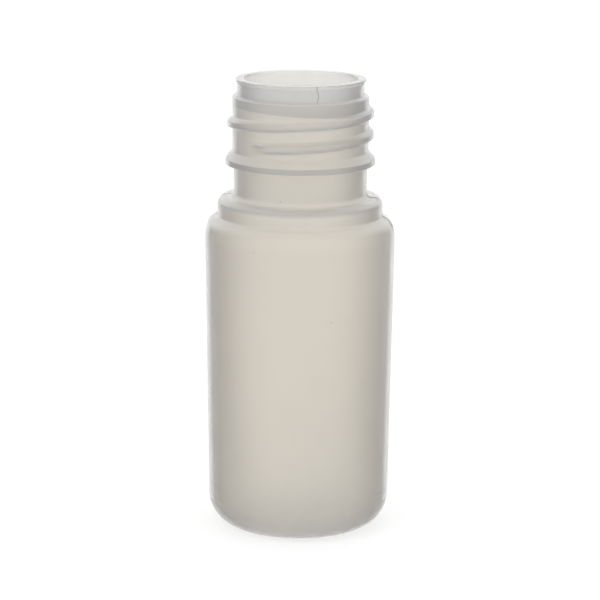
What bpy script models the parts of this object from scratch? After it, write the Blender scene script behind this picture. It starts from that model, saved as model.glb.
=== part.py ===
"""A small blow-moulded bottle with a screw-thread neck and an open mouth, all one moulding.

Lengths are in metres and +Z is up. The origin is the centre of the face that the bottle stands on,
and the mould's parting line lies in the XZ plane. An outline is a list of (radius, height) points.
"""

import math

import bmesh
import bpy

# Overall
HEIGHT = 0.0858
NECK_RADIUS = 0.0128

# Rim and the thin ring under it that seals in a cap
STEP_WIDTH = 0.0009
RING_HEIGHT = 0.00315
RING_WALL = 0.00125
LIP_REACH = 0.00025
LIP_HEIGHT = 0.00035
LIP_TAPER = 0.0002
MOUTH_BREAK = 0.0001

# Step from the ring to the neck, and the calibrated bore that ends a little below it
STEP_ROUND = 0.0005
BORE_LENGTH = 0.00595
BORE_TILT = math.radians(3.1)
BORE_RUNOUT = 0.0005
NECK_WALL = 0.00105

# Thread: one right-hand start, 4 mm pitch, whose underside is steeper than its top
THREAD_PITCH = 0.004
THREAD_REACH = 0.00095
THREAD_DROP = 0.00335
THREAD_TOP_FLANK = 0.0011
THREAD_CREST = 0.0005
THREAD_FOOT_FLANK = 0.00075
THREAD_SINK = 0.0004
THREAD_ROOT = 0.0008
THREAD_HIGH_END = math.radians(75)
THREAD_LOW_END = math.radians(-490)
THREAD_FADE = math.radians(36)

# Bead that catches a tamper band
THREAD_ZONE = 0.01035
BEAD_SLOPE = 0.00145
BEAD_REACH = 0.0013
BEAD_LAND = 0.0011
BEAD_UNDERSIDE = 0.00012
BEAD_ROUND = 0.00025

# Plain neck under the bead, and the collar
NECK_RELIEF = 0.00025
PLAIN_NECK = 0.00608
NECK_FILLET = 0.0006
COLLAR_REACH = 0.0028
COLLAR_HEIGHT = 0.00375
COLLAR_ROUND = 0.0016
COLLAR_WALL = 0.001

# Shoulder and body
SHOULDER_REACH = 0.00235
SHOULDER_DROP = 0.00405
BODY_TAPER = 0.00072
BODY_WALL = 0.0009

# Base: rounded corner, flat ring to stand on, and the floor raised inside the ring
CORNER_REACH = 0.0052
CORNER_RISE = 0.0057
FOOT_WIDTH = 0.0015
PUSH_UP = 0.0018
FLOOR_WALL = 0.0012

# Facets, and the angle from which an edge is drawn sharp
TURN_STEPS = 64
ROUND_STEPS = 3
COLLAR_STEPS = 5
SHOULDER_STEPS = 6
CORNER_STEPS = 6
FLOOR_STEPS = 4
THREAD_FLANK_STEPS = 4
WELD = 0.000001
SHARP_ANGLE = math.radians(35)

# Radii and heights that follow from the sizes above
RING_RADIUS = NECK_RADIUS - STEP_WIDTH
LIP_RADIUS = RING_RADIUS + LIP_REACH
BORE_RADIUS = RING_RADIUS - RING_WALL
NECK_INSIDE = NECK_RADIUS - NECK_WALL
BEAD_RADIUS = NECK_RADIUS + BEAD_REACH
PLAIN_RADIUS = NECK_RADIUS - NECK_RELIEF
COLLAR_RADIUS = NECK_RADIUS + COLLAR_REACH
BODY_RADIUS = COLLAR_RADIUS + SHOULDER_REACH
BASE_RADIUS = BODY_RADIUS - BODY_TAPER
FOOT_RADIUS = BASE_RADIUS - CORNER_REACH
STEP_Z = HEIGHT - RING_HEIGHT
BORE_END_Z = HEIGHT - BORE_LENGTH
BEAD_TOP_Z = STEP_Z - THREAD_ZONE
LAND_TOP_Z = BEAD_TOP_Z - BEAD_SLOPE
LAND_FOOT_Z = LAND_TOP_Z - BEAD_LAND
BEAD_ROOT_Z = LAND_FOOT_Z - BEAD_UNDERSIDE
COLLAR_TOP_Z = BEAD_ROOT_Z - PLAIN_NECK
COLLAR_FOOT_Z = COLLAR_TOP_Z - COLLAR_HEIGHT
SHOULDER_FOOT_Z = COLLAR_FOOT_Z - SHOULDER_DROP

# Colour and surface of the plastic
PLASTIC_COLOUR = (0.78, 0.75, 0.70, 1.0)
PLASTIC_ROUGHNESS = 0.45


def clear_scene():
    for leftover in list(bpy.data.objects):
        bpy.data.objects.remove(leftover, do_unlink=True)


def arc(centre, reach, start, end, steps):
    """Points of an elliptic arc about centre, from the start angle to the end angle in degrees."""
    points = []
    for step in range(steps + 1):
        angle = math.radians(start + (end - start) * step / steps)
        points.append((centre[0] + reach[0] * math.cos(angle), centre[1] + reach[1] * math.sin(angle)))
    return points


def ring_outline():
    """The trimmed rim, the ring below it and the rounded step to the neck."""
    lip_foot = HEIGHT - LIP_HEIGHT
    points = [(LIP_RADIUS, HEIGHT), (LIP_RADIUS, lip_foot), (RING_RADIUS, lip_foot - LIP_TAPER)]
    points.append((RING_RADIUS, STEP_Z))
    step_centre = (NECK_RADIUS - STEP_ROUND, STEP_Z - STEP_ROUND)
    return points + arc(step_centre, (STEP_ROUND, STEP_ROUND), 90, 0, ROUND_STEPS)


def bead_outline():
    """The bead: a slope that a tamper band rides over, an upright land and a flat underside."""
    round_reach = (BEAD_ROUND, BEAD_ROUND)
    upper = (BEAD_RADIUS - BEAD_ROUND, LAND_TOP_Z - BEAD_ROUND)
    lower = (BEAD_RADIUS - BEAD_ROUND, LAND_FOOT_Z + BEAD_ROUND)
    points = [(NECK_RADIUS, BEAD_TOP_Z)]
    points += arc(upper, round_reach, 45, 0, ROUND_STEPS - 1)
    points += arc(lower, round_reach, 0, -90, ROUND_STEPS)
    points.append((PLAIN_RADIUS, BEAD_ROOT_Z))
    return points


def collar_outline():
    """The plain neck's foot, and the collar with its round top edge."""
    fillet_centre = (PLAIN_RADIUS + NECK_FILLET, COLLAR_TOP_Z + NECK_FILLET)
    round_centre = (COLLAR_RADIUS - COLLAR_ROUND, COLLAR_TOP_Z - COLLAR_ROUND)
    points = arc(fillet_centre, (NECK_FILLET, NECK_FILLET), 180, 270, ROUND_STEPS)
    points += arc(round_centre, (COLLAR_ROUND, COLLAR_ROUND), 90, 0, COLLAR_STEPS)
    return points


def body_outline():
    """The shoulder, the slightly tapered body, the base's corner, the flat foot and the raised floor."""
    points = arc((COLLAR_RADIUS, SHOULDER_FOOT_Z), (SHOULDER_REACH, SHOULDER_DROP), 90, 0, SHOULDER_STEPS)
    points += arc((FOOT_RADIUS, CORNER_RISE), (CORNER_REACH, CORNER_RISE), 0, -90, CORNER_STEPS)
    points += arc((0, 0), (FOOT_RADIUS - FOOT_WIDTH, PUSH_UP), 0, 90, FLOOR_STEPS)
    return points


def inside_outline():
    """The inner wall, from the middle of the floor up to the mouth."""
    inner_reach = (CORNER_REACH - BODY_WALL, CORNER_RISE - FLOOR_WALL)
    points = arc((0, FLOOR_WALL), (FOOT_RADIUS - FOOT_WIDTH, PUSH_UP), 90, 0, FLOOR_STEPS)
    points += arc((FOOT_RADIUS, CORNER_RISE), inner_reach, -90, 0, CORNER_STEPS)
    shoulder = (COLLAR_RADIUS - COLLAR_WALL, SHOULDER_FOOT_Z)
    shoulder_reach = (SHOULDER_REACH + COLLAR_WALL - BODY_WALL, SHOULDER_DROP - BODY_WALL)
    points += arc(shoulder, shoulder_reach, 0, 90, SHOULDER_STEPS)
    collar_centre = (COLLAR_RADIUS - COLLAR_ROUND, COLLAR_TOP_Z - COLLAR_ROUND)
    collar_reach = (COLLAR_ROUND - COLLAR_WALL, COLLAR_ROUND - COLLAR_WALL)
    points += arc(collar_centre, collar_reach, 0, 90, ROUND_STEPS)
    points.append((NECK_INSIDE, COLLAR_TOP_Z - COLLAR_WALL + NECK_FILLET))
    points.append((NECK_INSIDE, BORE_END_Z - BORE_RUNOUT))
    points.append((BORE_RADIUS, BORE_END_Z))
    points.append((BORE_RADIUS, HEIGHT - MOUTH_BREAK))
    points.append((BORE_RADIUS + MOUTH_BREAK, HEIGHT))
    return points


def turned(name, outline):
    """A closed mesh object made by turning an outline, whose two ends lie on the axis, about Z."""
    form = bmesh.new()
    corners = [form.verts.new((radius, 0.0, height)) for radius, height in outline]
    edges = [form.edges.new(pair) for pair in zip(corners, corners[1:])]
    bmesh.ops.spin(
        form,
        geom=corners + edges,
        axis=(0, 0, 1),
        cent=(0, 0, 0),
        angle=math.tau,
        steps=TURN_STEPS,
        use_merge=True,
    )
    bmesh.ops.remove_doubles(form, verts=form.verts, dist=WELD)
    tilt_bore_end(form)
    bmesh.ops.recalc_face_normals(form, faces=form.faces)
    return mesh_object(name, form)


def tilt_bore_end(form):
    """Tilts the rings where the calibrated bore runs out, which lie a little lower on the +X side."""
    top, foot = BORE_END_Z + WELD, BORE_END_Z - BORE_RUNOUT - WELD
    for corner in form.verts:
        inside = math.hypot(corner.co.x, corner.co.y) < NECK_INSIDE + WELD
        if inside and foot < corner.co.z < top:
            corner.co.z -= corner.co.x * math.tan(BORE_TILT)


def mesh_object(name, form):
    mesh = bpy.data.meshes.new(name)
    form.to_mesh(mesh)
    form.free()
    made = bpy.data.objects.new(name, mesh)
    bpy.context.scene.collection.objects.link(made)
    return made


def eased(share):
    """A share from 0 to 1 with a soft start and a soft end."""
    share = min(max(share, 0.0), 1.0)
    return share * share * (3 - 2 * share)


def thread_section():
    """(rise above the crest's middle, share of the full height) from the thread's underside to its top."""
    half_crest = THREAD_CREST / 2
    points = []
    for step in range(THREAD_FLANK_STEPS + 1):
        share = step / THREAD_FLANK_STEPS
        points.append((-half_crest - THREAD_FOOT_FLANK * (1 - share), eased(share)))
    for step in range(THREAD_FLANK_STEPS + 1):
        share = step / THREAD_FLANK_STEPS
        points.append((half_crest + THREAD_TOP_FLANK * share, eased(1 - share)))
    return points


def thread_fade(angle):
    """The thread's height at an angle, as a share: full along its length and run out at both ends."""
    return eased((THREAD_HIGH_END - angle) / THREAD_FADE) * eased((angle - THREAD_LOW_END) / THREAD_FADE)


def thread_ring(angle):
    """Points of the ridge's section at an angle: its flanks and crest, then its back in the neck wall."""
    middle = STEP_Z - THREAD_DROP + THREAD_PITCH * angle / math.tau
    full = (THREAD_REACH + THREAD_SINK) * thread_fade(angle)
    foot = NECK_RADIUS - THREAD_SINK
    back = NECK_RADIUS - THREAD_ROOT
    ring = [(foot + full * share, middle + rise) for rise, share in thread_section()]
    ring += [(back, ring[-1][1]), (back, ring[0][1])]
    return [(radius * math.cos(angle), radius * math.sin(angle), height) for radius, height in ring]


def thread_ridge(name):
    """The thread as a closed ridge on a helix, its root sunk in the neck wall."""
    form = bmesh.new()
    length = THREAD_HIGH_END - THREAD_LOW_END
    count = round(length * TURN_STEPS / math.tau)
    rings = []
    for index in range(count + 1):
        ring = thread_ring(THREAD_LOW_END + length * index / count)
        rings.append([form.verts.new(point) for point in ring])
    for first, second in zip(rings, rings[1:]):
        for a, b, c, d in zip(first, first[1:] + first[:1], second[1:] + second[:1], second):
            form.faces.new((a, b, c, d))
    form.faces.new(rings[0])
    form.faces.new(reversed(rings[-1]))
    bmesh.ops.recalc_face_normals(form, faces=form.faces)
    ridge = mesh_object(name, form)
    ridge.hide_render = True
    ridge.display_type = "WIRE"
    return ridge


def plastic():
    """The milky, satin plastic of the moulding."""
    material = bpy.data.materials.new("milky_plastic")
    material.use_nodes = True
    shader = material.node_tree.nodes["Principled BSDF"]
    shader.inputs["Base Color"].default_value = PLASTIC_COLOUR
    shader.inputs["Roughness"].default_value = PLASTIC_ROUGHNESS
    shader.inputs["Metallic"].default_value = 0.0
    return material


def main():
    clear_scene()
    outline = inside_outline() + ring_outline() + bead_outline() + collar_outline() + body_outline()
    bottle = turned("bottle", outline)
    ridge = thread_ridge("thread_ridge")
    join = bottle.modifiers.new("thread", "BOOLEAN")
    join.operation = "UNION"
    join.solver = "EXACT"
    join.object = ridge
    bottle.data.materials.append(plastic())
    bottle.data.shade_smooth()
    bottle.data.set_sharp_from_angle(angle=SHARP_ANGLE)


main()
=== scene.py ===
"""A small milky bottle with a screw neck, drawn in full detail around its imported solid.

The bottle is one blow moulding, so it is one closed wall: an outline turned about Z, which then gets what a
moulding has, its thread, parting line, trimmed lip, uneven wall and seam. Lengths are in metres, +Z is up and
the bottle's front faces -Y. Angles are measured about Z from +X, the bottle's right side.
"""

import math

import bpy
import numpy as np
from bpy.props import FloatProperty, FloatVectorProperty, IntProperty, PointerProperty
from mathutils import Matrix, Vector


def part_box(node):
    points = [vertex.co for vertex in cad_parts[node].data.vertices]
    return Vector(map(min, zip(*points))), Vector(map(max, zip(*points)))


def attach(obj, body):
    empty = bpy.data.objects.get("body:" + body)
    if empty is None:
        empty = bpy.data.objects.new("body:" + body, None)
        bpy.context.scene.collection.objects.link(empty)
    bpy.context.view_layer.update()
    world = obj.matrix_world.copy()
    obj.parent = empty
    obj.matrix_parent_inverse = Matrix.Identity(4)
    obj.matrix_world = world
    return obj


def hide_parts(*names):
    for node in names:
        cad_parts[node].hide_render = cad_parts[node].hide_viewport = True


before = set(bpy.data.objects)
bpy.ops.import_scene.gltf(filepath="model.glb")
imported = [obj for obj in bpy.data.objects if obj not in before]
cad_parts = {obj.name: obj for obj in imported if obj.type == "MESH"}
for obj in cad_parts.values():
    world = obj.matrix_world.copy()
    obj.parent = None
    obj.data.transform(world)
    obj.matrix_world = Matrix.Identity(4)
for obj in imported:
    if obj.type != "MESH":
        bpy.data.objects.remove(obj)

bl_info = {
    "name": "Milky screw-neck bottle",
    "version": (1, 0, 0),
    "blender": (4, 5, 0),
    "location": "3D View > Sidebar > Bottle",
    "description": "Draws a small blow-moulded bottle around its packed solid, and a studio to show it in",
    "category": "Object",
}

NODE = "bottle"
BODY = "root"
SKIN = "uneven_skin"
BOX_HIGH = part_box(NODE)[1]
HEIGHT = BOX_HIGH.z
BODY_RADIUS = BOX_HIGH.x

# Roundings of the moulding's edges
LIP_ROUND = 0.00006
RING_FILLET = 0.00015
NECK_BLEND = 0.0006
LAND_ROUND = 0.0003
BEAD_FILLET = 0.0002
FOOT_ROUND = 0.0004
BORE_BLEND = 0.0004

# Share of the collar's wall by which the fillet inside the neck is larger than the one outside
FILLET_GROWTH = 0.6

# Angle in degrees at which the shoulder's ellipse ends, and height of the fillet over it, outside and inside
SHOULDER_LEAVE = 76
GROOVE_RISE = 0.0005
INNER_LEAVE = 60
INNER_RISE = 0.0009

# Spacing of the mesh's rows and steps of its curves
ROW_SPACING = 0.0013
THREAD_ROW_SPACING = 0.00014
ARC_STEPS = 4
LONG_ARC_STEPS = 12

# Columns added beside a fine mark, and the share of a column's width that even columns keep from them
MARK_OFFSETS = (0.0, 0.00006, 0.00012, 0.00019, 0.0003, 0.0005)
MARK_CLEARANCE = 0.3

# How strongly the wall's thicker stretches and its painted shade show, on the band, ring, lip, bead land,
# collar edge, thread crest and tip, and the cool tint on the neck
BAND_SHARE = 0.77
RING_SHARE = 0.6
LIP_SHARE = 0.5
LAND_SHARE = 0.92
SLAB_SHARE = 0.7
PAINTED_CREST_SHADE = 0.37
TIP_SHARE = 0.9
NECK_COOL = 0.2

# Where these stretches begin and end, and how softly
BAND_LIFT = 0.00035
BAND_BLUR = 0.00012
RING_SHOWS = 0.0003
SLAB_TOP = 0.0006
SLAB_FOOT = 0.0012
SLAB_BLUR = 0.00025

# Drop and width of the painted shade line under the thread's crest, and top of the painted shade on the
# crest, in crest heights
LINE_DROP = 0.58
LINE_WIDTH = 0.48
CREST_TOP = 0.95

# How fast the painted shade line over the thread's tip starts, and how fast it ends where the thread is full
TIP_START = 9
TIP_END = 4

# Share of its raggedness that the trimmed lip keeps in front and behind
LIP_CALM = 0.25

# Ranges of the normal's height: over which a wall stops being upright for the painted edge shade, and over
# which its painted light rim comes in
UPRIGHT_LEAN = (0.3, 0.65)
UNDER_LEAN = (-0.25, -0.05)

# Slants over which the painted edge shade deepens, that shade gives way, and the painted light rim comes in,
# on the wall and on the shoulder
EDGE_SLANT = (0.05, 0.72)
EDGE_FADE = (0.65, 0.86)
RIM_SLANT = (0.68, 0.88)
SHOULDER_RIM = (0.36, 0.84)

# Parting line: how softly it ends, how dark its painted shade is where flash was left, its faint stretches,
# and how weak it is on the left
PARTING_BLUR = 0.0003
PARTING_SHADE_SHARE = 0.28
PARTING_FAINT = 0.02
PARTING_LEFT = 0.4

# How strongly the painted shade line at the edge of the flare inside the mouth shows
FLARE_SHADE_SHARE = 0.14

# Waves of the wall's thickness, the skin and the lip: weight, waves round and up the bottle, and phase
WALL_WAVES = (
    (0.45, 1, 0.7, 0.4),
    (0.3, 2, 1.3, 2.1),
    (0.2, 3, 2.2, 4.0),
    (0.12, 7, 1.1, 1.0),
    (0.08, 13, 0.6, 5.2),
)
SKIN_WAVES = ((0.5, 2, 0.8, 1.7), (0.3, 3, 1.9, 0.3), (0.2, 5, 2.6, 3.9), (0.15, 9, 3.4, 2.6))
LIP_WAVES = ((0.3, 17, 0, 0.5), (0.3, 29, 0, 2.9), (0.25, 47, 0, 4.4), (0.25, 71, 0, 1.3), (0.2, 103, 0, 3.6))

# Path of the hair crack: share of the way down the ring, and degrees to the side
CRACK_PATH = ((0.0, -0.2), (0.2, -0.8), (0.38, 0.8), (0.62, 1.0), (0.78, 0.0), (0.88, -0.4), (1.0, -2.1))

# Angle over which the bend of the columns beside the crack fades out, and the share of it that bends in full
CRACK_FADE = math.radians(6)
CRACK_FULL = 0.3

# Specks in the plastic: angle in degrees, height, size and strength
SPECKS = (
    (-106.4, 0.06453, 0.00017, 1.0),
    (-117.9, 0.05575, 0.00015, 0.7),
    (-70.5, 0.04298, 0.00017, 0.8),
    (-122.1, 0.04818, 0.00013, 0.4),
    (38.0, 0.03350, 0.00016, 0.8),
    (131.0, 0.06120, 0.00015, 0.7),
    (12.0, 0.02170, 0.00014, 0.6),
)

# Share of a speck's size at which its soft edge starts
SPECK_CORE = 0.3

# Noises of the skin: output, waves per metre along each axis, detail, and the range that is spread to 0 to 1
SKIN_NOISES = (
    ("Cloud", (60.0, 60.0, 35.0), 3.0, 0.35, 0.65),
    ("Grain", (2600.0, 2600.0, 2600.0), 2.0, 0.3, 0.7),
    ("Lines", (420.0, 420.0, 9.0), 2.0, 0.35, 0.65),
    ("Scratches", (70.0, 70.0, 2400.0), 3.0, 0.58, 0.7),
)

# Heights between which the scratches above the base run out, and their depth in heights of the grain
WEAR_FULL = 0.006
WEAR_TOP = 0.018
SCRATCH_DEPTH = 6.0

# Times that light may bounce, enough for its way round inside the wall
BOUNCES = 24

# Soft lamps: name, place, side and power
SOFTBOXES = (
    ("key_softbox", (-0.9, -0.8, 1.2), 1.1, 11.0),
    ("fill_softbox", (1.1, -0.5, 1.0), 1.1, 7.0),
    ("top_softbox", (0.0, 0.7, 1.6), 1.4, 12.0),
)

# Nearest distance that the camera shows
CLIP_START = 0.01


def length(name, description, default):
    """A length that a user may change, in metres."""
    kind = {"subtype": "DISTANCE", "unit": "LENGTH"}
    return FloatProperty(name=name, description=description, default=default, **kind)


def turn(name, description, degrees):
    """An angle that a user may change, given in degrees."""
    return FloatProperty(name=name, description=description, default=math.radians(degrees), subtype="ANGLE")


def share(name, description, default):
    """A share from 0 to 1 that a user may change."""
    limits = {"min": 0.0, "max": 1.0, "subtype": "FACTOR"}
    return FloatProperty(name=name, description=description, default=default, **limits)


def number(name, description, default, low=0.0):
    """A plain number that a user may change."""
    return FloatProperty(name=name, description=description, default=default, min=low)


def colour(name, description, red, green, blue):
    """A colour that a user may change."""
    limits = {"size": 4, "min": 0.0, "max": 1.0, "subtype": "COLOR"}
    return FloatVectorProperty(name=name, description=description, default=(red, green, blue, 1.0), **limits)


class NeckSizes(bpy.types.PropertyGroup):
    """Sizes of the rim, the sealing ring, the thread and the bead."""

    radius: length("Neck radius", "Radius of the neck between the turns of the thread", 0.0128)
    wall: length("Neck wall", "Thickness of the neck's wall", 0.00105)
    step_width: length("Step width", "How far the sealing ring stands back from the neck", 0.0009)
    step_round: length("Step rounding", "Rounding of the step's outer edge", 0.0005)
    ring_height: length("Ring height", "Height of the sealing ring above the step", 0.00315)
    ring_wall: length("Ring wall", "Thickness of the sealing ring", 0.00125)
    lip_reach: length("Lip reach", "How far the trimmed lip stands out of the ring", 0.00025)
    lip_height: length("Lip height", "Thickness of the trimmed lip", 0.00035)
    lip_taper: length("Lip taper", "Height over which the lip runs back to the ring", 0.0004)
    bore_flare: length("Bore flare", "How much wider the bore is at the mouth", 0.00006)
    flare_depth: length("Flare depth", "Depth of the wider stretch of the bore", 0.0009)
    bore_length: length("Bore length", "Depth of the calibrated bore below the rim", 0.00595)
    bore_runout: length("Bore run-out", "Height over which the bore opens to the neck's inside", 0.0005)
    bore_tilt: turn("Bore tilt", "Slant of the line where the bore ends", 3.1)
    pitch: length("Thread pitch", "Rise of the thread in one turn", 0.004)
    thread_reach: length("Thread reach", "How far the thread stands out of the neck", 0.00095)
    thread_drop: length("Thread drop", "Depth of the thread below the step, at the right side", 0.00325)
    top_flank: length("Upper flank", "Height of the thread's upper flank", 0.00095)
    crest: length("Crest", "Height of the thread's crest", 0.0008)
    foot_flank: length("Lower flank", "Height of the thread's lower flank", 0.0007)
    high_end: turn("Upper end", "Where the thread's upper end is", 75.0)
    low_end: turn("Lower end", "Where the thread's lower end is, counted back from the upper one", -497.0)
    fade: turn("Run-out", "Length over which an end of the thread runs out", 24.0)
    bead_top: length("Bead top", "Depth of the bead's upper edge below the step", 0.01035)
    bead_slope: length("Bead slope", "Height of the bead's upper slope", 0.00145)
    bead_reach: length("Bead reach", "How far the bead stands out of the neck", 0.0013)
    bead_land: length("Bead land", "Height of the bead's upright land", 0.0011)
    bead_underside: length("Bead underside", "Height of the bead's underside", 0.00012)
    relief: length("Neck relief", "How far the neck stands back under the bead", 0.00025)
    plain: length("Plain neck", "Height of the plain neck under the bead", 0.00608)
    fillet: length("Neck fillet", "Fillet from the neck to the collar", 0.0009)


class BodySizes(bpy.types.PropertyGroup):
    """Sizes of the collar, the shoulder, the body and the base."""

    collar_reach: length("Collar reach", "How far the collar stands out of the neck", 0.0028)
    collar_height: length("Collar height", "Height of the collar", 0.00375)
    collar_round: length("Collar rounding", "Rounding of the collar's upper edge", 0.0016)
    collar_wall: length("Collar wall", "Thickness of the collar's wall", 0.001)
    shoulder_drop: length("Shoulder height", "Height of the shoulder", 0.00405)
    taper: length("Body taper", "How much narrower the body is at its foot", 0.00072)
    wall: length("Body wall", "Thickness of the body's wall", 0.0009)
    corner_reach: length("Corner reach", "Width of the base's rounded corner", 0.0052)
    corner_rise: length("Corner rise", "Height of the base's rounded corner", 0.0057)
    foot_width: length("Foot width", "Width of the ring that the bottle stands on", 0.0015)
    push_up: length("Push-up", "How far the floor is raised inside the foot", 0.0018)
    floor_wall: length("Floor wall", "Thickness of the floor", 0.0012)
    columns: IntProperty(name="Columns", description="Mesh columns round the bottle", default=236, min=48)


class MouldMarks(bpy.types.PropertyGroup):
    """Marks that moulding, trimming and handling leave."""

    parting_turn: turn("Parting line", "Where the mould's parting line runs, from the right side", -7.0)
    parting_height: length("Parting ridge", "Height of the parting line's ridge", 0.00002)
    flash_height: length("Flash height", "Height of the ridge where flash was left on it", 0.00013)
    parting_width: length("Parting width", "Half width of the parting line's ridge", 0.00009)
    mismatch: length("Mould mismatch", "Step between the mould's halves", 0.000012)
    seam_height: length("Seam height", "Height of the pinched seam under the base", 0.00022)
    seam_width: length("Seam width", "Half width of the pinched seam", 0.0003)
    seam_reach: length("Seam reach", "How far the seam runs from the middle of the base", 0.0082)
    lip_wear: length("Lip raggedness", "How uneven the trimmed lip is", 0.0001)
    wall_wave: length("Wall wave", "How uneven the wall's thickness is", 0.0001)
    skin_wave: length("Skin wave", "How uneven the outer surface is", 0.000025)
    crack_turn: turn("Crack", "Where the hair crack in the ring is", -75.0)
    crack_depth: length("Crack depth", "Depth of the hair crack", 0.00022)
    crack_width: length("Crack width", "Half width of the hair crack", 0.00005)


class PlasticLook(bpy.types.PropertyGroup):
    """Colour and surface of the milky plastic."""

    tint: colour("Tint", "Colour that each pass through the surface gives", 0.938, 0.902, 0.825)
    cool_tint: colour("Cool tint", "Tint of the sealing ring, and in part of the neck", 0.985, 0.966, 0.93)
    # Painted shade, with thicker wall on the band and bead land: what is left of the tint there
    thick_and_painted_shade: colour("Thick shade", "What is left of the tint in thick stretches", 0.52, 0.545, 0.63)
    # Painted shade where the wall is seen at a slant
    painted_edge_shade: colour("Edge shade", "What is left of it where the wall is seen at a slant", 0.4, 0.38, 0.365)
    # Painted light rim at the outline and on the shoulder
    painted_rim_light: colour("Rim tint", "Colour at the outline, where light runs inside the wall", 0.96, 0.97, 0.975)
    # Painted light on the collar's rounded edge and inside the mouth
    painted_light_tint: colour("Clear tint", "Colour of the collar's edge and inside the mouth", 1.0, 0.975, 0.93)
    # Painted shade on the inside of the bottle's floor
    painted_base_shade: colour("Floor tint", "Tint of the bottle's floor", 0.655, 0.7, 0.75)
    depth_colour: colour("Depth colour", "Colour of light that has gone deep into the wall", 0.4, 0.45, 0.6)
    depth_density: number("Depth density", "How fast the wall takes up light", 40.0)
    # Colour of the crack and specks, and of the painted shade on the parting ridge and the flare's edge
    marks_and_shade_colour: colour("Crack colour", "Colour in crack, specks and parting line", 0.3, 0.28, 0.26)
    roughness: share("Roughness", "Roughness of the satin outer surface", 0.3)
    inner_roughness: share("Inner roughness", "Roughness of the inner surface, which no mould touched", 0.5)
    bore_roughness: share("Bore roughness", "Roughness of the bore, which a steel pin formed", 0.35)
    skin_gloss: share("Skin gloss", "Strength of the smooth skin's own reflection", 1.0)
    skin_roughness: share("Skin roughness", "Roughness of the smooth skin", 0.15)
    cloud: share("Cloud", "How uneven the plastic's colour and gloss are", 0.05)
    grain: length("Grain", "Height of the skin's fine grain", 0.000004)
    wear: share("Wear", "How strongly the fine scratches above the base show", 0.5)
    milkiness: share("Milkiness", "Share of the light that scatters in the plastic", 0.19)
    index: number("Refractive index", "Refractive index of the plastic", 1.4, 1.0)


class StageLook(bpy.types.PropertyGroup):
    """The studio's floor, backdrop, lamps and camera."""

    floor_side: length("Floor side", "Half of the floor's side", 4.0)
    floor_colour: colour("Floor colour", "Colour of the floor", 0.9, 0.9, 0.9)
    floor_white: share("Floor white", "Share of plain white in what a camera sees of the floor", 0.75)
    paper: share("Paper", "How uneven the floor's colour is", 0.2)
    paper_grain: length("Paper grain", "Height of the floor's fine grain", 0.00001)
    # Painted shade on the floor near the bottle, seen only in what the bottle mirrors and lets through
    painted_near_shade: share("Near floor", "Brightness that the bottle mirrors of the floor near it", 0.95)
    near_reach: length("Near reach", "Distance within which the floor is that dim", 0.018)
    far_reach: length("Far reach", "Distance from which the floor is as bright as the backdrop", 0.25)
    ambient: number("Ambient", "Strength of the studio's soft light from all round", 0.8)
    lens: number("Lens", "Focal length in millimetres", 141.494, 1.0)
    camera_place: FloatVectorProperty(
        name="Camera place",
        description="Where the camera stands",
        default=(0.000119, -0.437122, 0.144648),
        subtype="TRANSLATION",
    )
    camera_pitch: turn("Camera pitch", "How far the camera looks down", 13.05)
    camera_roll: turn("Camera roll", "How far the camera leans to its left", 0.38)


def eased(value):
    """A share from 0 to 1 with a soft start and a soft end."""
    value = np.clip(value, 0.0, 1.0)
    return value * value * (3 - 2 * value)


def hump(distance, width):
    """A smooth hump that is 1 at its middle and falls off over a width."""
    return np.exp(-((distance / width) ** 2))


def above_edge(distance, blur):
    """0 below an edge and 1 above it, with a soft change of the given half width."""
    return eased(distance / blur / 2 + 0.5)


def within(value, low, high, blur):
    """1 between low and high, with a soft edge of the given half width at both."""
    return above_edge(value - low, blur) * above_edge(high - value, blur)


def wrapped(angle):
    """The same angle within half a turn of zero."""
    return (angle + math.pi) % math.tau - math.pi


def arc(centre, reach, start, end, steps):
    """Points of an elliptic arc about centre, from the start angle to the end angle in degrees."""
    angles = np.radians(np.linspace(start, end, steps + 1))
    return [(centre[0] + reach[0] * math.cos(a), centre[1] + reach[1] * math.sin(a)) for a in angles]


def rounded(before, corner, after, reach):
    """A corner of an outline as an arc of the given radius."""
    corner = np.array(corner)
    back, ahead = np.array(before) - corner, np.array(after) - corner
    back, ahead = back / np.linalg.norm(back), ahead / np.linalg.norm(ahead)
    half = math.acos(max(-1.0, min(1.0, float(back @ ahead)))) / 2
    start, end = corner + back * reach / math.tan(half), corner + ahead * reach / math.tan(half)
    middle = (back + ahead) / np.linalg.norm(back + ahead)
    centre = corner + middle * reach / math.sin(half)
    spread = math.pi - 2 * half
    points = []
    for part in np.linspace(0, 1, ARC_STEPS + 1):
        ray = math.sin((1 - part) * spread) * (start - centre) + math.sin(part * spread) * (end - centre)
        points.append(tuple(centre + ray / math.sin(spread)))
    return points


def blended(first, corner, last):
    """A curve from first to last whose end directions both point at the corner."""
    points = []
    for part in np.linspace(0, 1, LONG_ARC_STEPS + 1):
        weights = ((1 - part) ** 2, 2 * part * (1 - part), part**2)
        pulls = list(zip(weights, (first, corner, last)))
        points.append(tuple(sum(weight * point[axis] for weight, point in pulls) for axis in (0, 1)))
    return points


def shoulder_curve(start, reach, leave, rise):
    """The shoulder's quarter ellipse up to an angle, then a fillet of height rise that ends upright."""
    angle = math.radians(leave)
    curve = arc(start, reach, 0, leave, LONG_ARC_STEPS)
    steep = reach[1] / reach[0] / math.tan(angle)
    corner = (start[0], curve[-1][1] + steep * (curve[-1][0] - start[0]))
    return curve[:-1] + blended(curve[-1], corner, (corner[0], corner[1] + rise))


def softened(corners):
    """An outline of (radius, height, rounding) corners as (radius, height) points."""
    points = [corners[0][:2]]
    for before, corner, after in zip(corners, corners[1:], corners[2:]):
        points += rounded(before[:2], corner[:2], after[:2], corner[2]) if corner[2] else [corner[:2]]
    return points + [corners[-1][:2]]


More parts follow.
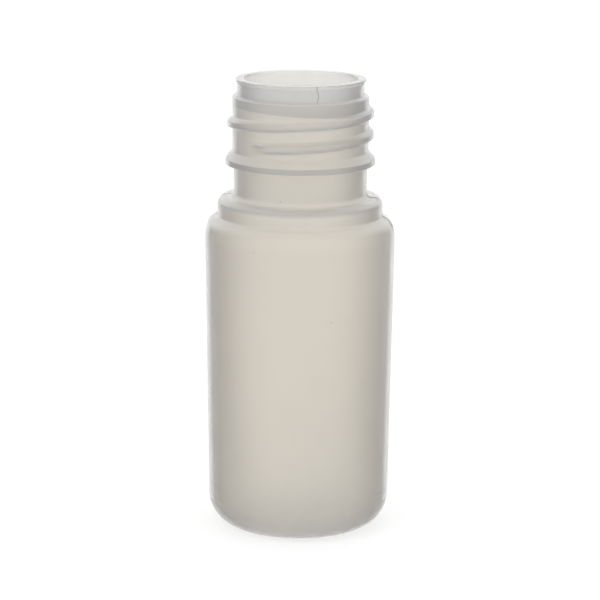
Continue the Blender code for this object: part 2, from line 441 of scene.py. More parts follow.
def spaced(points, spacing):
    """The outline with its long stretches cut into rows no further apart than spacing says for a height."""
    rows = [points[0]]
    for first, second in zip(points, points[1:]):
        first, second = np.array(first), np.array(second)
        gap = np.linalg.norm(second - first)
        count = max(1, math.ceil(gap / spacing((first[1] + second[1]) / 2)))
        rows += [tuple(first + (second - first) * part / count) for part in range(1, count + 1)]
    return rows


class Heights:
    """Heights and radii that follow from the bottle's sizes."""

    def __init__(self, neck, body):
        self.ring = neck.radius - neck.step_width
        self.lip = self.ring + neck.lip_reach
        self.bore = self.ring - neck.ring_wall
        self.inside = neck.radius - neck.wall
        self.bead = neck.radius + neck.bead_reach
        self.plain = neck.radius - neck.relief
        self.collar = neck.radius + body.collar_reach
        self.base = BODY_RADIUS - body.taper
        self.foot = self.base - body.corner_reach
        self.recess = self.foot - body.foot_width
        self.step_z = HEIGHT - neck.ring_height
        self.bore_z = HEIGHT - neck.bore_length
        self.bead_z = self.step_z - neck.bead_top
        self.land_z = self.bead_z - neck.bead_slope
        self.land_foot_z = self.land_z - neck.bead_land
        self.root_z = self.land_foot_z - neck.bead_underside
        self.collar_z = self.root_z - neck.plain
        self.collar_foot_z = self.collar_z - body.collar_height
        self.shoulder_z = self.collar_foot_z - body.shoulder_drop


def neck_corners(neck, body, at):
    """Corners from the collar up to the mouth's edge, each with its rounding."""
    lip_foot = HEIGHT - neck.lip_height
    return [
        (at.collar, at.collar_z, body.collar_round),
        (at.plain, at.collar_z, neck.fillet),
        (at.plain, at.root_z, BEAD_FILLET),
        (at.bead, at.land_foot_z, LAND_ROUND),
        (at.bead, at.land_z, LAND_ROUND),
        (neck.radius, at.bead_z, NECK_BLEND),
        (neck.radius, at.step_z, neck.step_round),
        (at.ring, at.step_z, RING_FILLET),
        (at.ring, lip_foot - neck.lip_taper, 0),
        (at.lip, lip_foot, 0),
        (at.lip, HEIGHT, LIP_ROUND),
        (at.bore + neck.bore_flare, HEIGHT, LIP_ROUND),
    ]


def outer_outline(neck, body, at):
    """From the middle of the base's underside, over the body and the neck, to the mouth."""
    floor = arc((0, 0), (at.recess, body.push_up), 90, 0, LONG_ARC_STEPS)[:-1]
    foot = softened([floor[-1] + (0,), (at.recess, 0, FOOT_ROUND), (at.foot, 0, 0)])
    corner = arc((at.foot, body.corner_rise), (body.corner_reach, body.corner_rise), -90, 0, LONG_ARC_STEPS)
    reach = (BODY_RADIUS - at.collar, body.shoulder_drop)
    shoulder = shoulder_curve((at.collar, at.shoulder_z), reach, SHOULDER_LEAVE, GROOVE_RISE)
    mouth = (at.bore + neck.bore_flare, HEIGHT - neck.flare_depth, 0)
    neck_part = softened([shoulder[-1] + (0,)] + neck_corners(neck, body, at) + [mouth])
    return floor[:-1] + foot + corner[1:] + shoulder + neck_part[1:-1]


def inner_outline(neck, body, at):
    """From the mouth down the inside of the wall to the middle of the floor."""
    collar_inside = at.collar - body.collar_wall
    shoulder_reach = (BODY_RADIUS - body.wall - collar_inside, body.shoulder_drop - body.wall)
    corner_reach = (body.corner_reach - body.wall, body.corner_rise - body.floor_wall)
    top = at.collar_z - body.collar_wall
    shoulder = shoulder_curve((collar_inside, at.shoulder_z), shoulder_reach, INNER_LEAVE, INNER_RISE)[::-1]
    neck_part = softened([
        (at.bore + neck.bore_flare, HEIGHT, 0),
        (at.bore + neck.bore_flare, HEIGHT - neck.flare_depth, LIP_ROUND),
        (at.bore, HEIGHT - neck.flare_depth - neck.bore_flare, LIP_ROUND),
        (at.bore, at.bore_z, BORE_BLEND / 2),
        (at.inside, at.bore_z - neck.bore_runout, BORE_BLEND),
        (at.inside, top, neck.fillet + body.collar_wall * FILLET_GROWTH),
        (collar_inside, top, body.collar_round - body.collar_wall),
        shoulder[0] + (0,),
    ])
    corner = arc((at.foot, body.corner_rise), corner_reach, 0, -90, LONG_ARC_STEPS)
    floor = arc((0, body.floor_wall), (at.recess, body.push_up), 0, 90, LONG_ARC_STEPS)
    return neck_part[1:] + shoulder[1:] + corner + floor


def thread_turns(neck, at, angle, height):
    """For each turn of the thread, the height above its crest's middle, and the share its run-out leaves."""
    for turns in range(-2, 2):
        along = angle + math.tau * turns
        above = height - (at.step_z - neck.thread_drop + neck.pitch * along / math.tau)
        left = eased((neck.high_end - along) / neck.fade) * eased((along - neck.low_end) / neck.fade)
        yield above, left


def thread_rise(neck, at, angle, height):
    """How far the thread stands out of the neck at an angle and a height."""
    half = neck.crest / 2
    rise = np.zeros(np.broadcast(angle, height).shape)
    for above, left in thread_turns(neck, at, angle, height):
        top = eased(1 - (above - half) / neck.top_flank)
        foot = eased(1 - (-above - half) / neck.foot_flank)
        rise = np.maximum(rise, neck.thread_reach * np.minimum(top, foot) * left)
    return rise


def nearest_turn(neck, at, angle, height):
    """Height above the middle of the nearest turn's crest, and the share its run-out leaves."""
    nearest, share_left = np.full(np.broadcast(angle, height).shape, neck.pitch), 0.0
    for above, left in thread_turns(neck, at, angle, height):
        nearer = (np.abs(above) < np.abs(nearest)) & (left > 0)
        nearest, share_left = np.where(nearer, above, nearest), np.where(nearer, left, share_left)
    return nearest, share_left


def column_angles(body, marks, at):
    """Angles of the mesh's columns: even ones, and fine ones beside the parting line and the crack."""
    step = math.tau / body.columns
    fine = []
    for centre, radius in (
        (marks.parting_turn, at.collar),
        (marks.parting_turn + math.pi, at.collar),
        (marks.crack_turn, at.ring),
    ):
        fine += [centre + side * offset / radius for offset in MARK_OFFSETS for side in (-1, 1)]
    fine = sorted({round(float(wrapped(a)), 9) for a in fine})
    even = [float(wrapped(step * index)) for index in range(body.columns)]
    clear = [a for a in even if min(abs(float(wrapped(a - b))) for b in fine) > step * MARK_CLEARANCE]
    return np.array(sorted(clear + fine))


def band_foot(neck, at, angle, radius):
    """Height of the slanted lower edge of the thick band."""
    return at.bore_z + BAND_LIFT - radius * np.cos(angle) * math.tan(neck.bore_tilt)


def thick_and_shade_masks(neck, at, angle, radius, height):
    """Masks of the outer wall's thicker stretches and painted shade, from band to collar edge, and of the
    painted shade on the thread's crest.
    """
    # The band under the ring and the bead's land are thicker wall and partly painted shade; the ring, the
    # lip's edge, the collar's rounded edge, the line under the crest and the line over the tip are painted
    # shade
    band = BAND_SHARE * within(height, band_foot(neck, at, angle, radius), at.step_z - RING_SHOWS, BAND_BLUR)
    ring = RING_SHARE * within(height, at.step_z - RING_SHOWS, HEIGHT - LIP_ROUND * 2, BAND_BLUR)
    lip = LIP_SHARE * hump(height - HEIGHT + LIP_ROUND, LIP_ROUND)
    lip = lip * eased((radius - at.ring) / neck.lip_reach)
    land = LAND_SHARE * within(height, at.land_foot_z, at.land_z - LAND_ROUND / 6, LAND_ROUND / 3)
    slab = SLAB_SHARE * above_edge(at.collar_z - SLAB_TOP - height, SLAB_BLUR)
    slab = slab * above_edge(height - at.collar_z + SLAB_FOOT, BAND_BLUR)
    above, left = nearest_turn(neck, at, angle, height)
    line = hump(above + neck.crest * LINE_DROP, neck.crest * LINE_WIDTH)
    tip = TIP_SHARE * hump(above - neck.crest / 2, neck.crest / 4)
    tip = tip * eased(left * TIP_START) * eased(TIP_END - left * TIP_END)
    thick_and_shaded = np.maximum.reduce([band, ring, lip, land, slab, line * left**3, tip])
    # Painted shade on the thread's crest
    crest = PAINTED_CREST_SHADE * within(above, -neck.crest / 2, neck.crest * CREST_TOP, neck.crest / 5)
    return thick_and_shaded, crest * eased(left * 2) * (1 - thick_and_shaded)


def row_spacing(at, height):
    """How far apart the rows may be at a height of the outer outline."""
    if height >= at.step_z:
        return THREAD_ROW_SPACING * 2
    return THREAD_ROW_SPACING if height > at.bead_z - NECK_BLEND else ROW_SPACING


def inner_spacing(neck, height):
    """How far apart the rows may be at a height of the inner outline."""
    return THREAD_ROW_SPACING if height > HEIGHT - neck.flare_depth * 2 else ROW_SPACING


def outline_normals(rows):
    """Directions that point out of the wall, one for each (radius, height) point of the outer outline."""
    along = np.gradient(rows, axis=0)
    return np.stack((along[:, 1], -along[:, 0]), axis=1) / np.linalg.norm(along, axis=1, keepdims=True)


class Wall:
    """Angle, radius and height of every point of the wall in rows and columns, and its masks."""

    def __init__(self, neck, body, marks, at):
        outer = spaced(outer_outline(neck, body, at), lambda height: row_spacing(at, height))
        inner = spaced(inner_outline(neck, body, at), lambda height: inner_spacing(neck, height))
        rows = np.array(outer + inner)
        self.normals = outline_normals(rows)
        self.angle = np.tile(column_angles(body, marks, at), (len(rows), 1))
        self.radius = np.tile(rows[:, :1], (1, self.angle.shape[1]))
        self.height = np.tile(rows[:, 1:], (1, self.angle.shape[1]))
        self.outside = np.arange(len(rows))[:, None] < len(outer)
        self.masks = {}


def raise_thread(wall, neck, at):
    """Lifts the thread out of the neck."""
    threaded = (wall.height < at.step_z - neck.step_round) & (wall.height > at.bead_z - NECK_BLEND)
    rise = thread_rise(neck, at, wall.angle, wall.height)
    wall.radius = wall.radius + np.where(wall.outside & threaded, rise, 0)


def mask_stretches(wall, neck, body, at):
    """Masks every stretch of the wall that shows another colour or gloss."""
    angle, radius, height, outside = wall.angle, wall.radius, wall.height, wall.outside
    thick_and_shaded, crest = thick_and_shade_masks(neck, at, angle, radius, height)
    neck_cool = eased((height - at.collar_foot_z) / neck.fillet)
    neck_cool = neck_cool * above_edge(band_foot(neck, at, angle, radius) - height, BAND_BLUR)
    cool = np.maximum(above_edge(height - at.step_z + RING_SHOWS, BAND_BLUR), NECK_COOL * neck_cool)
    # Painted shade on the inside of the bottle's floor
    floor = np.where(outside, 0, eased((at.foot + body.corner_reach / 2 - radius) / body.corner_reach * 2))
    floor = floor * eased((body.corner_rise - height) / body.corner_rise * 2)
    bore = np.where(outside, 0, within(height, at.bore_z, HEIGHT, neck.bore_runout))
    # Painted light on the collar's rounded edge, and inside the mouth
    slab_z = np.where(outside, at.collar_z, at.collar_z - body.collar_wall)
    clear = within(height, slab_z - SLAB_TOP / 2, slab_z + SLAB_TOP, SLAB_TOP / 4) * (radius > at.plain)
    mouth = within(height, HEIGHT - neck.flare_depth, HEIGHT * 2, LIP_ROUND)
    wall.masks = {
        "thick_and_shaded": np.where(outside, thick_and_shaded, 0),
        "crest": np.where(outside, crest, 0),
        "cool": cool,
        "floor": floor,
        "bore": bore,
        "inside": np.where(outside, 0.0, 1.0) - bore,
        "clear": np.maximum(clear, np.where(outside, 0, mouth)),
    }


def ripple(angle, height, waves):
    """A smooth uneven value within about 1 of zero: a sum of waves round and up the bottle."""
    total = np.zeros(np.broadcast(angle, height).shape)
    for weight, round_waves, rise_waves, phase in waves:
        around = np.cos(round_waves * angle + phase)
        upward = np.cos(rise_waves * height / HEIGHT * math.tau + 2 * phase)
        total += weight * around * upward
    return total


def trim_lip(wall, neck, marks, at):
    """Makes the trimmed lip ragged."""
    on_lip = wall.outside & (wall.radius > at.ring)
    on_lip = on_lip & (wall.height > HEIGHT - neck.lip_height - neck.lip_taper)
    calm = LIP_CALM + (1 - LIP_CALM) * np.cos(wall.angle) ** 4
    ragged = ripple(wall.angle, 0 * wall.height, LIP_WAVES) * calm
    reach = np.clip((wall.radius - at.ring) / neck.lip_reach, 0, 1)
    wall.radius = wall.radius + np.where(on_lip, marks.lip_wear * ragged * reach, 0)
    edge = np.where(on_lip, reach * eased((wall.height - HEIGHT + neck.lip_height) / neck.lip_height), 0)
    wall.height = wall.height - marks.lip_wear * edge * (0.5 + 0.5 * ragged)


def wave_wall(wall, neck, marks, at):
    """Makes the outer surface and the wall's thickness uneven."""
    skin = marks.skin_wave * (ripple(wall.angle, wall.height, SKIN_WAVES) - 1)
    plain = eased((at.step_z - wall.height) / neck.ring_height)
    wall.radius = wall.radius + np.where(wall.outside, skin, 0) * plain
    uneven = marks.wall_wave * ripple(wall.angle, wall.height, WALL_WAVES)
    uneven = uneven * eased((at.bore_z - wall.height) / neck.bore_runout)
    wide = eased(wall.radius / at.recess)
    wall.radius = wall.radius + np.where(wall.outside, 0, uneven * wide)
    wall.height = wall.height + np.where(wall.outside, 0, uneven * (1 - wide))


def parting_flash(neck, body, at, radius, height):
    """How much flash was left on the parting line, from 0 to 1: on the collar's top and on the shoulder."""
    top = within(height, at.collar_z - body.collar_round / 4, at.collar_z + neck.fillet, PARTING_BLUR)
    top = top * (radius > at.plain) * (radius < at.collar - body.collar_round / 3)
    shoulder_z = at.shoulder_z + body.shoulder_drop / 2
    shoulder = within(height, shoulder_z, at.collar_foot_z + PARTING_BLUR, PARTING_BLUR)
    return np.maximum(top, shoulder * (radius > at.collar))


def raise_parting_line(wall, neck, body, marks, at):
    """Raises the mould's parting line on both sides, and masks the painted shade on its ridge and at the edge
    of the mouth's flare.
    """
    flash = parting_flash(neck, body, at, wall.radius, wall.height)
    # Painted shade line at the edge of the flare inside the mouth
    flare = FLARE_SHADE_SHARE * hump(wall.height - (HEIGHT - neck.flare_depth), neck.bore_flare * 2)
    mask = np.where(wall.outside, 0, flare)
    for side, forward, strength in ((0, -1, 1.0), (math.pi, 1, PARTING_LEFT)):
        away = wrapped(wall.angle - marks.parting_turn - side) * wall.radius
        near = eased(1 - np.abs(away) / at.bore) * eased((at.step_z - wall.height) / neck.step_round)
        near = near * eased((wall.height - body.corner_rise / 2) / body.corner_rise) * wall.outside
        # Painted shade on the ridge's flank toward the front
        line = hump(away * forward - marks.parting_width, marks.parting_width)
        mask = np.maximum(mask, strength * near * np.maximum(PARTING_SHADE_SHARE * flash, PARTING_FAINT) * line)
        ridge = marks.parting_height + strength * marks.flash_height * flash
        lift = near * ridge * hump(away, marks.parting_width)
        step = near * marks.mismatch * np.tanh(away / marks.parting_width) * -forward
        wall.radius = wall.radius + lift * wall.normals[:, :1] + step
        wall.height = wall.height + lift * wall.normals[:, 1:]
    wall.masks["parting"] = mask


def pinch_seam(wall, body, marks, at):
    """Draws the pinched seam out of the base's underside."""
    across = wall.radius * np.sin(wall.angle - marks.parting_turn)
    along = np.abs(wall.radius * np.cos(wall.angle - marks.parting_turn))
    seam = hump(across, marks.seam_width) * eased((marks.seam_reach - along) / marks.seam_width / 4)
    underneath = wall.outside & (wall.height < body.push_up * 2) & (wall.radius < at.recess)
    wall.height = wall.height - marks.seam_height * seam * underneath


def slant_bore_end(wall, neck, at):
    """Slants the line where the bore ends."""
    from_end = np.abs(wall.height - at.bore_z + neck.bore_runout / 2)
    at_end = ~wall.outside & (from_end < neck.bore_runout * 1.5)
    drop = wall.radius * np.cos(wall.angle) * math.tan(neck.bore_tilt)
    wall.height = wall.height - np.where(at_end, drop, 0)


def crack_shift(neck, height):
    """How far the hair crack wanders from its upright line at a height."""
    drop = (HEIGHT - height) / (neck.ring_height + neck.step_round)
    drops, shifts = zip(*CRACK_PATH)
    return np.radians(np.interp(drop, drops, shifts))


def open_crack(wall, neck, marks, at):
    """Cuts the hair crack into the ring, and bends the columns beside it along its path."""
    from_crack = wrapped(wall.angle - marks.crack_turn)
    on_ring = wall.outside * eased((wall.height - at.step_z) / RING_FILLET)
    bend = eased(1 + CRACK_FULL - np.abs(from_crack) / CRACK_FADE)
    wall.angle = wall.angle + crack_shift(neck, wall.height) * on_ring * bend
    groove = hump(from_crack * at.ring, marks.crack_width) * on_ring
    wall.radius = wall.radius - marks.crack_depth * groove
    wall.masks["crack"] = groove


def moulded_wall(neck, body, marks):
    """The whole wall with its relief and its masks."""
    at = Heights(neck, body)
    wall = Wall(neck, body, marks, at)
    raise_thread(wall, neck, at)
    mask_stretches(wall, neck, body, at)
    trim_lip(wall, neck, marks, at)
    wave_wall(wall, neck, marks, at)
    raise_parting_line(wall, neck, body, marks, at)
    pinch_seam(wall, body, marks, at)
    slant_bore_end(wall, neck, at)
    open_crack(wall, neck, marks, at)
    wall.radius = np.minimum(wall.radius, BODY_RADIUS)
    return wall


def grid_faces(rows, columns):
    """Faces of a closed tube of rows and columns whose first and last rows are single points."""
    faces = []
    last = 1 + (rows - 2) * columns
    for column in range(columns):
        following = (column + 1) % columns
        faces.append((0, 1 + following, 1 + column))
        for row in range(rows - 3):
            low = 1 + row * columns
            high = low + columns
            faces.append((low + column, low + following, high + following, high + column))
        foot = last - columns
        faces.append((foot + column, foot + following, last))
    return faces


def wall_mesh(name, neck, body, marks):
    """The bottle's wall as one closed mesh that carries its masks."""
    wall = moulded_wall(neck, body, marks)
    rows, columns = wall.radius.shape
    across, deep = wall.radius * np.cos(wall.angle), wall.radius * np.sin(wall.angle)
    points = np.stack((across, deep, wall.height), axis=-1)[1:-1].reshape(-1, 3).tolist()
    first, last = ((0.0, 0.0, float(wall.height[row].mean())) for row in (0, -1))
    mesh = bpy.data.meshes.new(name)
    mesh.from_pydata([first, *points, last], [], grid_faces(rows, columns))
    mesh.validate()
    for mask, grid in wall.masks.items():
        attribute = mesh.attributes.new(mask, "FLOAT", "POINT")
        values = np.concatenate((grid[0, :1], grid[1:-1].ravel(), grid[-1, :1]))
        attribute.data.foreach_set("value", values.tolist())
    mesh.shade_smooth()
    return mesh


def new_material(name):
    """A material and its empty node tree."""
    material = bpy.data.materials.new(name)
    material.use_nodes = True
    material.node_tree.nodes.clear()
    return material, material.node_tree


def add(tree, kind, feeds=None, **settings):
    """A node with its settings, and what feeds its inputs: sockets or plain values."""
    node = tree.nodes.new(kind)
    for name, value in settings.items():
        setattr(node, name, value)
    for name, value in (feeds or {}).items():
        if isinstance(value, bpy.types.NodeSocket):
            tree.links.new(value, node.inputs[name])
        else:
            node.inputs[name].default_value = value
    return node


def math_node(tree, operation, first, second=0.0):
    """The output of a math node on two values."""
    return add(tree, "ShaderNodeMath", {0: first, 1: second}, operation=operation).outputs["Value"]


def mapped(tree, value, low, high, start, end):
    """A value carried softly from the range low to high to the range start to end."""
    feeds = {"Value": value, "From Min": low, "From Max": high, "To Min": start, "To Max": end}
    return add(tree, "ShaderNodeMapRange", feeds, interpolation_type="SMOOTHSTEP").outputs["Result"]


def coordinate(tree, kind):
    """A point's Object or Normal coordinate."""
    return add(tree, "ShaderNodeTexCoord").outputs[kind]


def split(tree, vector):
    """X, Y and Z of a vector."""
    return add(tree, "ShaderNodeSeparateXYZ", {"Vector": vector}).outputs


def scaled_place(tree, factors):
    """A point's place in the object's own space, times a factor along each axis."""
    feeds = {0: coordinate(tree, "Object"), 1: factors}
    return add(tree, "ShaderNodeVectorMath", feeds, operation="MULTIPLY").outputs["Vector"]


def distance_of(tree, place):
    """How far a place is from the origin."""
    return add(tree, "ShaderNodeVectorMath", {0: place}, operation="LENGTH").outputs["Value"]


def bumped(tree, relief, distance):
    """Normals of a surface with a fine relief of a height."""
    return add(tree, "ShaderNodeBump", {"Distance": distance, "Height": relief}).outputs["Normal"]


def point_mask(tree, name):
    """A mask that the mesh carries, as a socket."""
    return add(tree, "ShaderNodeAttribute", attribute_name=name).outputs["Fac"]


def mixed_colour(tree, blend, factor, first, second):
    """A mix of two colours."""
    feeds = {"Factor": factor, "A": first, "B": second}
    return add(tree, "ShaderNodeMix", feeds, data_type="RGBA", blend_type=blend).outputs["Result"]


def group_outputs(tree, group, feeds=None):
    """The outputs of a node that uses a node group."""
    return add(tree, "ShaderNodeGroup", feeds, node_tree=group).outputs


def new_group(name, inputs, outputs):
    """A shader node group with value sockets, and its input and output nodes."""
    group = bpy.data.node_groups.new(name, "ShaderNodeTree")
    for socket in inputs:
        group.interface.new_socket(socket, in_out="INPUT", socket_type="NodeSocketFloat")
    for socket in outputs:
        group.interface.new_socket(socket, in_out="OUTPUT", socket_type="NodeSocketFloat")
    return group, add(group, "NodeGroupInput"), add(group, "NodeGroupOutput")


def noise(tree, waves, detail):
    """Smooth noise from 0 to 1 in the object's own space, with waves per metre along each axis."""
    feeds = {"Vector": scaled_place(tree, waves), "Scale": 1.0, "Detail": detail}
    return add(tree, "ShaderNodeTexNoise", feeds).outputs["Fac"]


def skin_group():
    """Uneven colour, fine grain, upright die lines and level scratches, each from 0 to 1."""
    group, _, result = new_group(SKIN, (), [name for name, *_ in SKIN_NOISES])
    for name, waves, detail, low, high in SKIN_NOISES:
        spread = mapped(group, noise(group, waves, detail), low, high, 0.0, 1.0)
        group.links.new(spread, result.inputs[name])
    return group


def speck_group():
    """A mask of one dark speck at an angle about Z and a height."""
    group, place, result = new_group("speck", ("Turn", "Height", "Radius", "Size"), ("Mask",))
    parts = split(group, coordinate(group, "Object"))
    angle = math_node(group, "ARCTAN2", parts["Y"], parts["X"])
    across = math_node(group, "SUBTRACT", angle, place.outputs["Turn"])
    across = math_node(group, "MULTIPLY", across, place.outputs["Radius"])
    above = math_node(group, "SUBTRACT", parts["Z"], place.outputs["Height"])
    squares = [math_node(group, "MULTIPLY", value, value) for value in (across, above)]
    away = math_node(group, "SQRT", math_node(group, "ADD", *squares))
    away = math_node(group, "DIVIDE", away, place.outputs["Size"])
    group.links.new(mapped(group, away, SPECK_CORE, 1.0, 1.0, 0.0), result.inputs["Mask"])
    return group


def speck_mask(tree, indoors):
    """All specks of the outer surface in one mask."""
    group = speck_group()
    total = 0.0
    for degrees, height, size, strength in SPECKS:
        place = {"Turn": math.radians(degrees), "Height": height, "Radius": BODY_RADIUS, "Size": size}
        mask = group_outputs(tree, group, place)["Mask"]
        total = math_node(tree, "MAXIMUM", total, math_node(tree, "MULTIPLY", mask, strength))
    return math_node(tree, "MULTIPLY", total, math_node(tree, "SUBTRACT", 1.0, indoors))


def painted_edge_masks(tree, outdoors):
    """Painted shade where an upright wall is seen at a slant from outside, and the painted light rim at its
    outline.
    """
    facing = add(tree, "ShaderNodeLayerWeight").outputs["Facing"]
    straight_on = math_node(tree, "SUBTRACT", 1.0, facing)
    lean = split(tree, coordinate(tree, "Normal"))["Z"]

    # Where the wall turns under, only its slant to the side counts for the painted shade
    under = math_node(tree, "MINIMUM", lean, 0.0)
    level = math_node(tree, "SUBTRACT", 1.0, math_node(tree, "MULTIPLY", under, under))
    sideways = math_node(tree, "SUBTRACT", 1.0, math_node(tree, "DIVIDE", straight_on, level))

    # The painted light rim is wider on a narrower part
    girth = distance_of(tree, scaled_place(tree, (1 / BODY_RADIUS, 1 / BODY_RADIUS, 0.0)))
    straight_on = math_node(tree, "MULTIPLY", straight_on, math_node(tree, "SQRT", girth))
    slant = math_node(tree, "SUBTRACT", 1.0, straight_on)
    slant = math_node(tree, "MULTIPLY", slant, mapped(tree, lean, *UNDER_LEAN, 0.0, 1.0))

    edge = mapped(tree, sideways, *EDGE_SLANT, 0.0, 1.0)
    edge = math_node(tree, "MULTIPLY", edge, mapped(tree, slant, *EDGE_FADE, 1.0, 0.0))
    upright = math_node(tree, "MULTIPLY", mapped(tree, lean, *UPRIGHT_LEAN, 1.0, 0.0), outdoors)
    shoulder = mapped(tree, lean, *UPRIGHT_LEAN, 0.0, 1.0)
    shoulder = math_node(tree, "MULTIPLY", shoulder, mapped(tree, facing, *SHOULDER_RIM, 0.0, 1.0))
    rim = math_node(tree, "MAXIMUM", mapped(tree, slant, *RIM_SLANT, 0.0, 1.0), shoulder)
    return math_node(tree, "MULTIPLY", edge, upright), math_node(tree, "MULTIPLY", rim, outdoors)


def plastic_colour(tree, look, clouds, indoors):
    """The plastic's tint, with what the wall's masks, its slant and its marks lay over it."""
    behind = math_node(tree, "MAXIMUM", indoors, add(tree, "ShaderNodeNewGeometry").outputs["Backfacing"])
    outdoors = math_node(tree, "SUBTRACT", 1.0, behind)
    edge, rim = painted_edge_masks(tree, outdoors)
    # Crack and specks are marks in the plastic; the parting mask holds painted shade on the parting ridge and
    # at the flare's edge
    marks = math_node(tree, "MAXIMUM", point_mask(tree, "crack"), point_mask(tree, "parting"))
    marks = math_node(tree, "MAXIMUM", marks, speck_mask(tree, indoors))
    tint = look.tint
    for blend, mask, layer in (
        ("MIX", point_mask(tree, "cool"), look.cool_tint),
        # Painted shade on the inside of the bottle's floor
        ("MIX", point_mask(tree, "floor"), look.painted_base_shade),
        ("MULTIPLY", math_node(tree, "MULTIPLY", clouds, look.cloud), look.thick_and_painted_shade),
        # Thicker wall and painted shade on the band, ring, lip, land, collar edge and thread
        ("MULTIPLY", math_node(tree, "MULTIPLY", point_mask(tree, "thick_and_shaded"), outdoors), look.thick_and_painted_shade),
        # Painted shade on the thread's crest, in the edge shade's colour
        ("MULTIPLY", math_node(tree, "MULTIPLY", point_mask(tree, "crest"), outdoors), look.painted_edge_shade),
        # Painted shade where an upright wall is seen at a slant
        ("MULTIPLY", edge, look.painted_edge_shade),
        # Painted light rim at the outline and on the shoulder
        ("MIX", rim, look.painted_rim_light),
        # Painted light on the collar's rounded edge and inside the mouth
        ("MIX", point_mask(tree, "clear"), look.painted_light_tint),
        # Crack, specks and the painted shade on the parting ridge and the flare's edge
        ("MIX", marks, look.marks_and_shade_colour),
    ):
        tint = mixed_colour(tree, blend, mask, tint, layer)
    return tint


def milky_plastic(look, skin):
    """The translucent satin plastic of the moulding."""
    material, tree = new_material("milky_plastic")
    uneven = group_outputs(tree, skin)
    inside, bore = point_mask(tree, "inside"), point_mask(tree, "bore")
    indoors = math_node(tree, "ADD", inside, bore)

    height = split(tree, coordinate(tree, "Object"))["Z"]
    worn = mapped(tree, height, WEAR_FULL, WEAR_TOP, look.wear, 0.0)
    scratches = math_node(tree, "MULTIPLY", uneven["Scratches"], worn)
    smoother = math_node(tree, "MULTIPLY", bore, look.roughness - look.bore_roughness)
    rough = mapped(tree, inside, 0.0, 1.0, look.roughness, look.inner_roughness)
    rough = math_node(tree, "SUBTRACT", rough, smoother)
    rough = math_node(tree, "ADD", rough, math_node(tree, "MULTIPLY", uneven["Grain"], look.cloud))
    relief = math_node(tree, "ADD", uneven["Grain"], uneven["Lines"])
    relief = math_node(tree, "SUBTRACT", relief, math_node(tree, "MULTIPLY", scratches, SCRATCH_DEPTH))

    shader = add(tree, "ShaderNodeBsdfPrincipled", {
        "Base Color": plastic_colour(tree, look, uneven["Cloud"], indoors),
        "Roughness": math_node(tree, "ADD", rough, scratches),
        "IOR": look.index,
        "Normal": bumped(tree, relief, look.grain),
        "Transmission Weight": 1 - look.milkiness,
        "Coat Weight": look.skin_gloss,
        "Coat Roughness": look.skin_roughness,
    })
    absorbed = {"Color": look.depth_colour, "Density": look.depth_density}
    depth = add(tree, "ShaderNodeVolumeAbsorption", absorbed)
    feeds = {"Surface": shader.outputs["BSDF"], "Volume": depth.outputs["Volume"]}
    add(tree, "ShaderNodeOutputMaterial", feeds)
    return material


def seen_masks(tree):
    """Masks of camera rays, and of mirrored and transmitted rays."""
    path = add(tree, "ShaderNodeLightPath")
    mirrored = math_node(tree, "MAXIMUM", path.outputs["Is Glossy Ray"], path.outputs["Is Transmission Ray"])
    return path.outputs["Is Camera Ray"], mirrored


def floor_material(stage, skin):
    """Pale matt card that a camera sees as nearly white, with the bottle's soft shadow."""
    material, tree = new_material("pale_card")
    uneven = group_outputs(tree, skin)
    clouds = math_node(tree, "MULTIPLY", uneven["Cloud"], stage.paper)
    paper = mixed_colour(tree, "MULTIPLY", clouds, stage.floor_colour, stage.floor_colour)
    grain = bumped(tree, uneven["Grain"], stage.paper_grain)
    card = add(tree, "ShaderNodeBsdfDiffuse", {"Color": paper, "Normal": grain})
    camera, mirrored = seen_masks(tree)
    away = distance_of(tree, coordinate(tree, "Object"))
    # Painted shade near the bottle, which only mirrored and transmitted rays see
    dim = mapped(tree, away, stage.near_reach, stage.far_reach, stage.painted_near_shade, 1.0)
    white = add(tree, "ShaderNodeEmission", {"Strength": math_node(tree, "MAXIMUM", dim, camera)})
    amount = math_node(tree, "MAXIMUM", math_node(tree, "MULTIPLY", camera, stage.floor_white), mirrored)
    feeds = {"Fac": amount, 1: card.outputs["BSDF"], 2: white.outputs["Emission"]}
    mixed = add(tree, "ShaderNodeMixShader", feeds)
    add(tree, "ShaderNodeOutputMaterial", {"Surface": mixed.outputs["Shader"]})
    return material


def make_world(stage):
    """Soft light from all round, which a camera sees as white."""
    world = bpy.data.worlds.new("studio")
    world.use_nodes = True
    tree = world.node_tree
    tree.nodes.clear()
    strength = mapped(tree, math_node(tree, "MAXIMUM", *seen_masks(tree)), 0.0, 1.0, stage.ambient, 1.0)
    light = add(tree, "ShaderNodeBackground", {"Color": (1.0, 1.0, 1.0, 1.0), "Strength": strength})
    add(tree, "ShaderNodeOutputWorld", {"Surface": light.outputs["Background"]})
    bpy.context.scene.world = world


def link(name, data):
    """A new object in the scene's collection."""
    made = bpy.data.objects.new(name, data)
    bpy.context.scene.collection.objects.link(made)
    return made


def make_lamps():
    """Large soft lamps in front and above."""
    for name, place, side, power in SOFTBOXES:
        lamp = bpy.data.lights.new(name, "AREA")
        lamp.shape = "SQUARE"
        lamp.size = side
        lamp.energy = power
        made = link(name, lamp)
        made.visible_glossy = False
        made.visible_transmission = False
        aim = Vector((0, 0, HEIGHT / 2)) - Vector(place)
        made.matrix_world = Matrix.Translation(place) @ aim.to_track_quat("-Z", "Y").to_matrix().to_4x4()


def make_camera(stage):
    """The camera, a little above the bottle and looking down at it."""
    data = bpy.data.cameras.new("camera")
    data.lens = stage.lens
    data.clip_start = CLIP_START
    made = link("camera", data)
    tilt = Matrix.Rotation(math.pi / 2 - stage.camera_pitch, 4, "X")
    lean = Matrix.Rotation(stage.camera_roll, 4, "Z")
    made.matrix_world = Matrix.Translation(stage.camera_place) @ tilt @ lean
    bpy.context.scene.camera = made


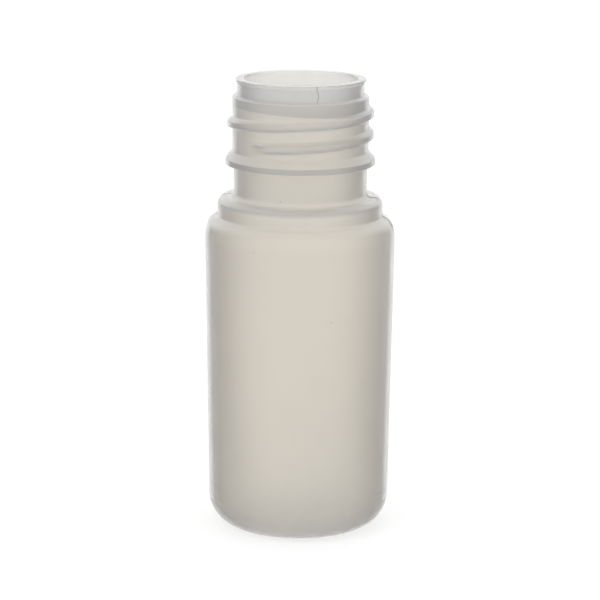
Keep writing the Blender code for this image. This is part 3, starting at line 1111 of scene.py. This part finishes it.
def make_floor(stage, skin):
    """The floor that the bottle stands on."""
    side = stage.floor_side
    mesh = bpy.data.meshes.new("floor")
    square = [(-side, -side, 0), (side, -side, 0), (side, side, 0), (-side, side, 0)]
    mesh.from_pydata(square, [], [(0, 1, 2, 3)])
    mesh.materials.append(floor_material(stage, skin))
    link("floor", mesh)


class BOTTLE_OT_blow(bpy.types.Operator):
    """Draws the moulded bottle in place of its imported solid"""

    bl_idname = "bottle.blow"
    bl_label = "Blow the bottle"

    def execute(self, context):
        scene = context.scene
        mesh = wall_mesh("blown_bottle", scene.bottle_neck, scene.bottle_body, scene.bottle_marks)
        mesh.materials.append(milky_plastic(scene.bottle_plastic, skin_group()))
        made = link("blown_bottle", mesh)
        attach(made, BODY)
        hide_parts(NODE)
        return {"FINISHED"}


class BOTTLE_OT_stage(bpy.types.Operator):
    """Sets up the floor, the soft light and the camera"""

    bl_idname = "bottle.stage"
    bl_label = "Set the stage"

    def execute(self, context):
        stage = context.scene.bottle_stage
        make_floor(stage, bpy.data.node_groups[SKIN])
        make_world(stage)
        make_lamps()
        make_camera(stage)
        context.scene.view_settings.view_transform = "Standard"
        cycles = context.scene.cycles
        cycles.use_denoising = True
        cycles.max_bounces = BOUNCES
        cycles.transmission_bounces = BOUNCES
        cycles.glossy_bounces = BOUNCES
        return {"FINISHED"}


class BOTTLE_PT_panel(bpy.types.Panel):
    """Lists the bottle's steps, sizes and looks"""

    bl_label = "Bottle"
    bl_idname = "BOTTLE_PT_panel"
    bl_space_type = "VIEW_3D"
    bl_region_type = "UI"
    bl_category = "Bottle"

    def draw(self, context):
        layout = self.layout
        for operator in OPERATORS:
            layout.operator(operator.bl_idname)
        for group in GROUPS:
            box = layout.box()
            settings = getattr(context.scene, group)
            for name in GROUPS[group].__annotations__:
                box.prop(settings, name)


GROUPS = {
    "bottle_neck": NeckSizes,
    "bottle_body": BodySizes,
    "bottle_marks": MouldMarks,
    "bottle_plastic": PlasticLook,
    "bottle_stage": StageLook,
}
OPERATORS = (BOTTLE_OT_blow, BOTTLE_OT_stage)


def register():
    """Makes the settings, the operators and the panel known."""
    for group in GROUPS:
        bpy.utils.register_class(GROUPS[group])
        setattr(bpy.types.Scene, group, PointerProperty(type=GROUPS[group]))
    for operator in OPERATORS:
        bpy.utils.register_class(operator)
    bpy.utils.register_class(BOTTLE_PT_panel)


def unregister():
    """Takes the panel, the operators and the settings away again."""
    bpy.utils.unregister_class(BOTTLE_PT_panel)
    for operator in reversed(OPERATORS):
        bpy.utils.unregister_class(operator)
    for group in GROUPS:
        delattr(bpy.types.Scene, group)
        bpy.utils.unregister_class(GROUPS[group])


def corners(bounds):
    """Both corners of a box as plain lists."""
    return [list(bounds[0]), list(bounds[1])]


def main():
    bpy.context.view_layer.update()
    register()
    bpy.ops.bottle.blow()
    bpy.ops.bottle.stage()


if __name__ == "__main__":
    main()
